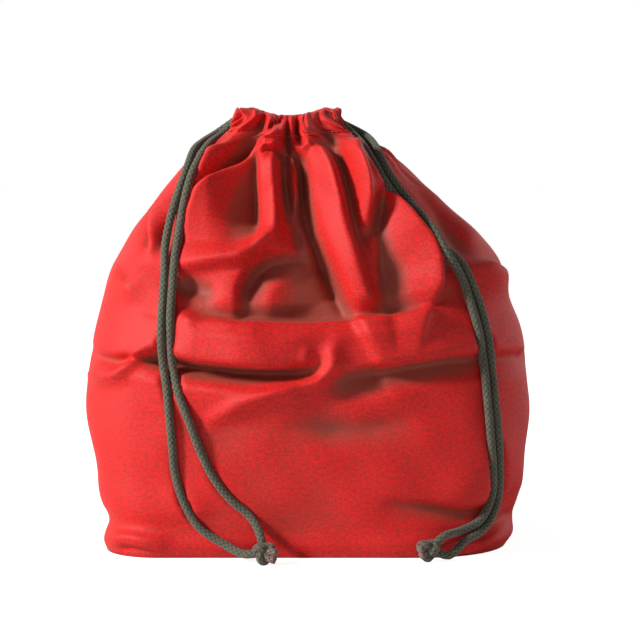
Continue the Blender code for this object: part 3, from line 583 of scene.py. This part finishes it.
def red_cotton():
    """Red cotton, plain woven: threads a little under a millimetre apart that cross over and under,
    each a little uneven in thickness and shade, with painted shade that turns it brown deep in the folds,
    and a soft sheen."""
    material, tree, shader = blank_material("red_cotton", 0.56)
    uv = node(tree, "ShaderNodeUVMap", uv_map="cloth").outputs[0]
    place = node(tree, "ShaderNodeTexCoord").outputs["Object"]
    threads = {"Vector": uv, "Scale": 360, "Distortion": 1.2, "Detail": 1, "Detail Scale": 3}
    warp, weft = (node(tree, "ShaderNodeTexWave", threads, bands_direction=way).outputs["Fac"]
                  for way in ("X", "Y"))
    weave = node(tree, "ShaderNodeMath", {0: warp, 1: weft}, operation="MULTIPLY").outputs[0]
    fine = node(tree, "ShaderNodeTexNoise", {"Vector": uv, "Scale": 900, "Detail": 2}).outputs["Fac"]
    broad = node(tree, "ShaderNodeTexNoise", {"Vector": place, "Scale": 14, "Detail": 3}).outputs["Fac"]
    slub = node(tree, "ShaderNodeTexNoise", {"Vector": uv, "Scale": 330, "Detail": 2}).outputs["Fac"]
    grain = node(tree, "ShaderNodeMath", {0: slub, 1: 0.6, 2: fine}, operation="MULTIPLY_ADD").outputs[0]
    shade = node(tree, "ShaderNodeMapRange", {"Value": grain, "From Min": 0.60, "From Max": 1.0,
                 "To Min": 0.0, "To Max": 1.0}).outputs[0]
    colour = node(tree, "ShaderNodeMix", {"Factor": shade, 6: (0.34, 0.018, 0.010, 1),
                  7: (0.88, 0.010, 0.013, 1)}, data_type="RGBA").outputs[2]
    wear = node(tree, "ShaderNodeMapRange", {"Value": broad, "From Min": 0.35, "From Max": 0.7,
                "To Min": 0.0, "To Max": 0.25}).outputs[0]
    colour = node(tree, "ShaderNodeMix", {"Factor": wear, 6: colour, 7: (0.80, 0.022, 0.022, 1)},
                  data_type="RGBA").outputs[2]
    # Painted shade: brown mixed into the colour deep in the folds, and a little on flat cloth
    painted_shade = node(tree, "ShaderNodeAttribute", attribute_name="painted_shade").outputs["Fac"]
    painted_shade = node(tree, "ShaderNodeMath", {0: painted_shade, 1: 0.68}, operation="MULTIPLY").outputs[0]
    colour = node(tree, "ShaderNodeMix", {"Factor": painted_shade, 6: colour, 7: (0.17, 0.072, 0.046, 1)},
                  data_type="RGBA").outputs[2]
    tree.links.new(colour, shader.inputs["Base Color"])
    bump = node(tree, "ShaderNodeBump", {"Height": weave, "Strength": 0.35, "Distance": 0.0003})
    bump = node(tree, "ShaderNodeBump", {"Height": fine, "Strength": 0.25, "Distance": 0.0004,
                "Normal": bump.outputs[0]})
    tree.links.new(bump.outputs[0], shader.inputs["Normal"])
    shader.inputs["Specular IOR Level"].default_value = 0.28
    shader.inputs["Sheen Weight"].default_value = 0.05
    shader.inputs["Sheen Roughness"].default_value = 0.4
    shader.inputs["Sheen Tint"].default_value = (1, 0.7, 0.6, 1)
    return material


cloth_red = red_cotton()

# Drawcords: their routes
# Two 6 mm braided cotton cords. Each runs once round the ring inside the casing, comes out at its
# own side opening, and has both ends lying down the front of the bag to the knot that joins them.
# The points are in millimetres, from the opening to the knot, and are the same as in the solids.
LEFT_FRONT_TAIL = (
    (-51, -3.6, 316.1), (-63.8, -8.6, 303.1), (-72.2, -25.4, 295.7), (-78.5, -42, 284.9),
    (-84, -55.5, 270.9), (-88.8, -59.9, 251.1), (-91.9, -64.9, 231.7), (-94.2, -74, 213.5),
    (-95.5, -78.9, 193.8), (-96.5, -86.5, 174.7), (-96.4, -87.3, 154.5), (-95, -82.5, 134.8),
    (-90.2, -90.6, 116.8), (-82.9, -93.5, 98.1), (-75.8, -92.2, 78.9), (-67.3, -89.8, 60.5),
    (-55.3, -89, 44), (-39.9, -89.5, 30.5), (-33.1, -98.2, 19.1), (-31.9, -101.9, 14.8),
)
LEFT_BACK_TAIL = (
    (-51, 3.6, 316.1), (-67.5, 6.4, 304.7), (-78, -9.5, 297.1), (-83.3, -28.8, 290.6),
    (-87.2, -45, 277.5), (-92.8, -55.4, 260.5), (-98.5, -58.6, 240.4), (-101.6, -66.3, 221.2),
    (-101.6, -73.9, 201.9), (-102.5, -81.1, 182.2), (-103.2, -87.8, 161.2), (-102.5, -82.7, 141.5),
    (-99.7, -86.1, 123), (-97.5, -89.5, 102.6), (-95.7, -88.6, 81.6), (-93.8, -86.7, 60.8),
    (-87.7, -86.2, 40.8), (-77, -87.7, 23), (-59.6, -90.1, 11.9), (-42.8, -101.1, 6.2),
    (-37.7, -103.6, 7.2),
)
RIGHT_FRONT_TAIL = (
    (23, -3.6, 312.6), (33.8, -16.7, 302.4), (40.4, -34, 294.3), (47.9, -48.4, 281.6),
    (56.3, -58.6, 266.4), (68, -64.1, 250.5), (79.3, -69.1, 234.1), (94.5, -69.7, 222.8),
    (110.2, -70.2, 209.8), (119, -71.7, 191.6), (125.5, -71.1, 172.2), (130.1, -69.2, 152.5),
    (132.2, -68.5, 132.6), (134, -73.6, 113), (136.2, -72.8, 92.6), (137.9, -68.7, 72.8),
    (138.6, -63.5, 53), (136.4, -60.7, 33.1), (126.5, -70.1, 18.9), (112.4, -83.3, 12.6),
    (98.3, -95.1, 4.2), (93, -96.1, 6.2),
)
RIGHT_BACK_TAIL = (
    (23, 3.6, 312.6), (39.1, 0, 304.4), (45.9, -18, 298.8), (51.1, -35.8, 290.3), (56.9, -50, 277.2),
    (66.8, -58.2, 261.7), (79.5, -63.2, 246.8), (90.5, -73, 233.2), (99.1, -78.4, 217.8),
    (109.7, -74.9, 199.7), (116.5, -75.3, 180.6), (122.2, -74.1, 161.2), (125.5, -71.1, 141.5),
    (127.5, -75.3, 121.8), (129.4, -77.1, 101.9), (131.3, -74.8, 81.8), (133.2, -70.4, 62.1),
    (132.8, -65.7, 42.3), (124.5, -71.2, 26), (108.4, -81.2, 19.1), (96.2, -94.8, 17.6),
    (91.7, -95.9, 14.1),
)
LEFT_KNOT = (-30.2, -107.2, 8.5)
LEFT_ENDS = (14.0, -7.5, -3.2)
RIGHT_KNOT = (85.2, -97.5, 9.0)
RIGHT_ENDS = (-13.0, -9.0, -3.4)


def distance_along(points):
    """How far each point lies along the line through all of them."""
    return np.concatenate([[0], np.cumsum(np.linalg.norm(np.diff(points, axis=0), axis=1))])


def cord_path(points, step=0.0006):
    """The route as evenly spaced points in metres on a smooth curve through the given ones."""
    points = np.array(points) / 1000
    along = distance_along(points)
    dense = smooth_through(np.linspace(0, along[-1], 32 * len(points)), along, points)
    for _ in range(30):
        dense[1:-1] = (dense[:-2] + 2 * dense[1:-1] + dense[2:]) / 4
    along = distance_along(dense)
    even = np.linspace(0, along[-1], round(along[-1] / step) + 1)
    return np.stack([np.interp(even, along, dense[:, axis]) for axis in range(3)], axis=-1)


paths = {
    "left_front": cord_path(LEFT_FRONT_TAIL),
    "left_back": cord_path(LEFT_BACK_TAIL),
    "right_front": cord_path(RIGHT_FRONT_TAIL),
    "right_back": cord_path(RIGHT_BACK_TAIL),
}

# Front and back panels
# Each is one piece of cotton, its top turned down inside and sewn along one line into the casing.
# The cords press the front in. At the right a fold lies over the front strand for a short way, and
# there it isn't pressed in.
PANEL_WITH_HEM = (0.42, 0.48)
COVERED_FROM = 0.224
COVERED_TO = 0.256
POINTS_AT_OPENING = 8
ROOM_UNDER_CORD = 0.0003

height = paths["right_front"][:, 2]
pressing = dict(paths)
pressing["right_front"] = paths["right_front"][(height <= COVERED_FROM) | (height >= COVERED_TO)]
mirrored = [path[POINTS_AT_OPENING:] * (1, -1, 1) for path in pressing.values()]
front_points = smoothed(panel_points(FRONT_FOLDS, FRONT_PLEATS, FRONT_RIGHT_CORNER), 2, 0.5)
front_points = press(front_points, mirrored, CORD / 2 + ROOM_UNDER_CORD)
front_points = smoothed(front_points, 1, 0.5)
back_points = smoothed(panel_points(BACK_FOLDS, BACK_PLEATS, BACK_CORNER), 2, 0.5)
for name, points, side in (("front", front_points, -1), ("back", back_points, 1)):
    mesh = grid_mesh(name + "_cloth", points, side, PANEL_WITH_HEM)
    panel = add(name + "_cloth", mesh, cloth_red)
    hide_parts(name + "_panel")
    wall = panel.modifiers.new("thickness", "SOLIDIFY")
    wall.thickness = CLOTH
    wall.offset = -1

# Sewing
# Red thread: one row round each panel along the foot of the casing, lying on the cloth.
THREAD_RADIUS = 0.00032
STITCH_STEP = 0.0034
STITCH_LENGTH = 0.0023
STITCH_ROW = BODY_ROWS + 2


def stitch_mesh(name, lines):
    """Rows of stitches: along each line of points, at even steps, a grain of thread that is thickest
    in the middle."""
    around = np.linspace(0, 2 * math.pi, 6, endpoint=False)
    points = []
    for line in lines:
        along = distance_along(line)
        middles = np.arange(0.002, along[-1] - 0.002, STITCH_STEP)
        at = middles[:, None] + np.linspace(-STITCH_LENGTH / 2, STITCH_LENGTH / 2, 5)
        path = np.stack([np.interp(at, along, line[:, axis]) for axis in range(3)], axis=-1)
        way = path[:, -1] - path[:, 0]
        way /= np.linalg.norm(way, axis=1, keepdims=True)
        side = np.cross(way, (0.31, 0.54, 0.78))
        side /= np.linalg.norm(side, axis=1, keepdims=True)
        other = np.cross(way, side)
        thick = THREAD_RADIUS * np.array([0.3, 0.9, 1, 0.9, 0.3])[None, :, None, None]
        ring = (np.cos(around)[None, None, :, None] * side[:, None, None]
                + np.sin(around)[None, None, :, None] * other[:, None, None])
        points.append(path[:, :, None] + thick * ring)
    points = np.concatenate(points)
    index = np.arange(points[..., 0].size).reshape(points.shape[:3])
    following = np.roll(index, -1, axis=2)
    sides = np.stack([index[:, :-1], following[:, :-1], following[:, 1:], index[:, 1:]], axis=-1)
    faces = (sides.reshape(-1, 4).tolist() + index[:, 0, ::-1].tolist() + index[:, -1].tolist())
    mesh = bpy.data.meshes.new(name)
    mesh.from_pydata(points.reshape(-1, 3).tolist(), [], faces)
    mesh.shade_smooth()
    mesh.update()
    return mesh


def sewing_thread():
    """Red sewing thread, a little paler than the cloth."""
    material, _, shader = blank_material("red_thread", 0.5)
    shader.inputs["Base Color"].default_value = (0.86, 0.060, 0.050, 1)
    return material


seam_lines = []
for points, side in ((front_points, -1), (back_points, 1)):
    raised = (points + 0.0001 * outward(points)) * (1, side, 1)
    seam_lines.append(raised[STITCH_ROW, 3:-3])
add("stitches", stitch_mesh("stitches", seam_lines), sewing_thread())

# Base
# A flat panel of the same cotton, sewn to both panels all round.
BASE_LEVEL = 0.0006
BASE_INSET = 0.994


def ring_faces(rows, columns):
    """Faces between closed rings of points that follow one another, four points to a face."""
    index = np.arange(rows * columns).reshape(rows, columns)
    following = np.roll(index, -1, axis=1)
    return np.stack([index[:-1], following[:-1], following[1:], index[1:]], axis=-1).reshape(-1, 4)


def base_mesh():
    """Rings of points from the middle of the base out to the panels' lower edges."""
    share = np.linspace(0, 1, COLUMNS + 1)
    front, back = (smooth_wall(share, np.array([0.0, 0.001]), corner)[0, :, :2]
                   for corner in (FRONT_RIGHT_CORNER, BACK_CORNER))
    outline = np.concatenate([(front * (1, -1))[:-1], back[:0:-1]]) * BASE_INSET
    rings = np.linspace(0.02, 1, 24)[:, None, None] * outline[None]
    points = np.concatenate([rings, np.full((*rings.shape[:2], 1), BASE_LEVEL)], axis=-1)
    rows, columns = points.shape[:2]
    faces = ring_faces(rows, columns)[:, ::-1].tolist() + [list(range(columns))]
    mesh = bpy.data.meshes.new("base_cloth")
    mesh.from_pydata(points.reshape(-1, 3).tolist(), [], faces)
    uv = mesh.uv_layers.new(name="cloth")
    corners = np.concatenate([np.array(face) for face in faces])
    uv.data.foreach_set("uv", points.reshape(-1, 3)[corners, :2].ravel())
    mesh.update()
    return mesh


base_cloth = add("base_cloth", base_mesh(), cloth_red)
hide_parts("base_panel")

# Drawcords
# Cotton braided from dark olive, grey and a few brownish strands. Each cord is a loop inside the
# casing and two tails down the front.
BRAID_ROUND = 28
BRAID_STRANDS = 5
BRAID_PITCH = 0.0042
LEAVES_RING = 0.14
LEFT_LEVEL = 0.0116
RIGHT_LEVEL = 0.0051


def sweep(path, radius):
    """A tube round a path. Each ring is square to the path and turned as little as possible from the
    last one; radius is one row for each point of the path and one column for each point round it."""
    way = np.gradient(path, axis=0)
    way /= np.linalg.norm(way, axis=1, keepdims=True)
    side = np.cross(way[0], (0.0, 0.0, 1.0) if abs(way[0][2]) < 0.9 else (1.0, 0.0, 0.0))
    sides = []
    for direction in way:
        side = side - direction * (side @ direction)
        side = side / np.linalg.norm(side)
        sides.append(side)
    sides = np.array(sides)
    others = np.cross(way, sides)
    turn = np.linspace(0, 2 * math.pi, radius.shape[1], endpoint=False)
    round_it = (np.cos(turn)[None, :, None] * sides[:, None]
                + np.sin(turn)[None, :, None] * others[:, None])
    return path[:, None] + radius[..., None] * round_it


def braid_mesh(name, path):
    """A braided cord: two sets of strands wind round it opposite ways and stand up where either one
    is on top, so the surface is a lattice of slanting ridges."""
    length = np.arange(len(path)) * np.linalg.norm(np.diff(path, axis=0), axis=1).mean()
    turn = np.linspace(0, 2 * math.pi, BRAID_ROUND, endpoint=False)
    lean = 2 * math.pi * length[:, None] / BRAID_PITCH
    one = np.cos(BRAID_STRANDS * turn[None] + lean)
    other = np.cos(BRAID_STRANDS * turn[None] - lean)
    ridge = np.maximum(one, other)
    radius = CORD / 2 * (0.94 + 0.07 * ridge)
    points = sweep(path, radius)
    rows, columns = points.shape[:2]
    last = list(range((rows - 1) * columns, rows * columns))
    faces = ring_faces(rows, columns).tolist() + [list(range(columns))[::-1], last]
    mesh = bpy.data.meshes.new(name)
    mesh.from_pydata(points.reshape(-1, 3).tolist(), [], faces)
    u = np.broadcast_to(np.arange(columns) / columns, (rows, columns))
    v = np.broadcast_to(length[:, None] / BRAID_PITCH, (rows, columns))
    uv = np.stack([u, v], axis=-1).reshape(-1, 2)
    corners = np.concatenate([np.array(face) for face in faces])
    mesh.uv_layers.new(name="braid").data.foreach_set("uv", uv[corners].ravel())
    strand = mesh.attributes.new("strand", "FLOAT", "POINT")
    strand.data.foreach_set("value", (one - other).ravel() * 0.5)
    mesh.shade_smooth()
    mesh.update()
    return mesh


def cord_cotton(name, dark, pale):
    """Braided cotton: strands of two shades, with a fine fuzz of paler fibres."""
    material, tree, shader = blank_material(name, 0.85)
    place = node(tree, "ShaderNodeTexCoord").outputs["Object"]
    strand = node(tree, "ShaderNodeAttribute", attribute_name="strand").outputs["Fac"]
    fuzz = node(tree, "ShaderNodeTexNoise", {"Vector": place, "Scale": 1400, "Detail": 2}).outputs["Fac"]
    patch = node(tree, "ShaderNodeTexNoise", {"Vector": place, "Scale": 160, "Detail": 1}).outputs["Fac"]
    mix = node(tree, "ShaderNodeMath", {0: strand, 1: 0.35, 2: fuzz}, operation="MULTIPLY_ADD").outputs[0]
    shade = node(tree, "ShaderNodeMapRange", {"Value": mix, "From Min": 0.2, "From Max": 0.85}).outputs[0]
    colour = node(tree, "ShaderNodeMix", {"Factor": shade, 6: dark, 7: pale}, data_type="RGBA").outputs[2]
    tint = node(tree, "ShaderNodeMapRange", {"Value": patch, "From Min": 0.45, "From Max": 0.65,
                "To Max": 0.35}).outputs[0]
    colour = node(tree, "ShaderNodeMix", {"Factor": tint, 6: colour, 7: (0.16, 0.10, 0.085, 1)},
                  data_type="RGBA").outputs[2]
    tree.links.new(colour, shader.inputs["Base Color"])
    bump = node(tree, "ShaderNodeBump", {"Height": fuzz, "Strength": 0.5, "Distance": 0.0003})
    tree.links.new(bump.outputs[0], shader.inputs["Normal"])
    shader.inputs["Specular IOR Level"].default_value = 0.25
    shader.inputs["Sheen Weight"].default_value = 0.2
    return material


cord_dark = cord_cotton("cord_dark", (0.030, 0.036, 0.022, 1), (0.150, 0.150, 0.105, 1))


def ring_path(own_side, level):
    """The cord inside the casing, in millimetres: once round the ring, from where one tail leaves it
    to where the other does."""
    half_depth = np.array(RING_DEPTH / 2)
    share = np.linspace(LEAVES_RING, 1, 60)
    plan = rounded_half(np.array(RING_WIDTH / 2), half_depth, half_depth, half_depth, share)
    plan = plan * (-own_side, 1)
    height = SEAM_HEIGHT + level + RING_DIP * np.cos(2 * math.pi * share)
    front = np.column_stack([plan[:, 0] + RING_SHIFT, -plan[:, 1], height])
    back = np.column_stack([plan[:, 0] + RING_SHIFT, plan[:, 1], height])
    return 1000 * np.concatenate([front, back[-2::-1]])


def braid(name, path, material):
    """A piece of braided cord along a path."""
    return add(name, braid_mesh(name, path), material)


for name, path in paths.items():
    braid(name + "_tail", path, cord_dark)
for side, own_side, level in (("left", -1, LEFT_LEVEL), ("right", 1, RIGHT_LEVEL)):
    loop = braid(side + "_loop", cord_path(ring_path(own_side, level)), cord_dark)
    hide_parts(side + "_drawcord")

# Knots
# A cord's two tails end in one overhand knot with two short ends, whose cotton is paler. A straight
# link runs from each tail into the middle of the knot.
KNOT_SIZE = 0.0020
KNOT_DEPTH = 1.1
LEFT_END_LENGTH = 0.0065
RIGHT_END_LENGTH = 0.0040
END_START = 0.003
END_ASIDE = 0.0024
END_SPREAD = 30
LINK_START = -6
cord_end = cord_cotton("cord_end", (0.06, 0.045, 0.036, 1), (0.30, 0.20, 0.17, 1))


def knot_path(middle):
    """A closed overhand knot: a trefoil that lies flat against the cloth behind it."""
    t = np.linspace(0, 2 * math.pi, 160)
    x = np.sin(t) + 2 * np.sin(2 * t)
    y = -np.sin(3 * t)
    z = np.cos(t) - 2 * np.cos(2 * t)
    return np.column_stack([x, KNOT_DEPTH * y, z]) * KNOT_SIZE + middle


knots = {}
for side, middle, ends, end_length in (("left", LEFT_KNOT, LEFT_ENDS, LEFT_END_LENGTH),
                                       ("right", RIGHT_KNOT, RIGHT_ENDS, RIGHT_END_LENGTH)):
    middle = np.array(middle) / 1000
    lump = braid(side + "_lump", knot_path(middle), cord_dark)
    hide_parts(side + "_knot")
    knots[side] = (lump, middle)
    way = np.array(ends) / np.linalg.norm(ends)
    start = middle + way * END_START
    for number, aside in ((1, -END_ASIDE), (2, END_ASIDE)):
        across = np.cross(way, (0, 1, 0)) * aside
        end = start + across + np.linspace(0, end_length, 20)[:, None] * (way + across * END_SPREAD)
        braid(f"{side}_end_{number}", end, cord_end)
for name, path in paths.items():
    side = name.split("_")[0]
    lump, middle = knots[side]
    start = path[LINK_START]
    braid(name + "_link", start + np.linspace(0, 1, 20)[:, None] * (middle - start), cord_dark)
    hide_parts(side + "_drawcord")

# Floor and light
# A plain pale floor that shows white to the camera and keeps the bag's soft shadow. A strong lamp
# high on the left, a weak broad one behind on the right, a faint one in front, and an even pale
# surrounding.
floor_mesh = bpy.data.meshes.new("floor")
floor_mesh.from_pydata([(-40, -3, 0), (40, -3, 0), (40, 90, 0), (-40, 90, 0)], [], [(0, 1, 2, 3)])
floor = bpy.data.objects.new("floor", floor_mesh)
floor.location.z = -0.0002
bpy.context.scene.collection.objects.link(floor)
floor_paint, tree, shader = blank_material("floor_paint", 1)
shader.inputs["Base Color"].default_value = (0.9, 0.9, 0.9, 1)
shader.inputs["Emission Color"].default_value = (1, 1, 1, 1)
seen = node(tree, "ShaderNodeLightPath").outputs["Is Camera Ray"]
glow = node(tree, "ShaderNodeMath", {0: seen, 1: 0.85}, operation="MULTIPLY").outputs[0]
tree.links.new(glow, shader.inputs["Emission Strength"])
floor_mesh.materials.append(floor_paint)


def soft_lamp(name, place, target, size, power):
    """A square lamp at a place, turned to face a target."""
    lamp = bpy.data.lights.new(name, "AREA")
    lamp.size = size
    lamp.energy = power
    obj = bpy.data.objects.new(name, lamp)
    obj.location = place
    toward = np.array(target) - np.array(place)
    yaw = math.atan2(-toward[0], toward[1])
    pitch = math.atan2(math.hypot(toward[0], toward[1]), -toward[2])
    obj.rotation_euler = (pitch, 0, yaw)
    bpy.context.scene.collection.objects.link(obj)


soft_lamp("key", (-1.95, -1.0, 1.25), (0, 0, 0.16), 0.4, 76)
soft_lamp("rim", (1.9, 0.7, 0.5), (0, 0, 0.16), 1.2, 9)
soft_lamp("fill", (0.9, -2.2, 0.8), (0, 0, 0.16), 1.4, 2.4)
world = bpy.data.worlds.new("surround")
bpy.context.scene.world = world
world.use_nodes = True
sky = world.node_tree
ray = node(sky, "ShaderNodeLightPath")
seen = ray.outputs["Is Camera Ray"]
for kind in ("Is Glossy Ray", "Is Transmission Ray"):
    seen = node(sky, "ShaderNodeMath", {0: seen, 1: ray.outputs[kind]}, operation="MAXIMUM").outputs[0]
strength = node(sky, "ShaderNodeMapRange", {"Value": seen, "To Min": 0.08, "To Max": 1.0}).outputs[0]
sky.links.new(strength, sky.nodes["Background"].inputs["Strength"])
sky.nodes["Background"].inputs["Color"].default_value = (1, 1, 1, 1)
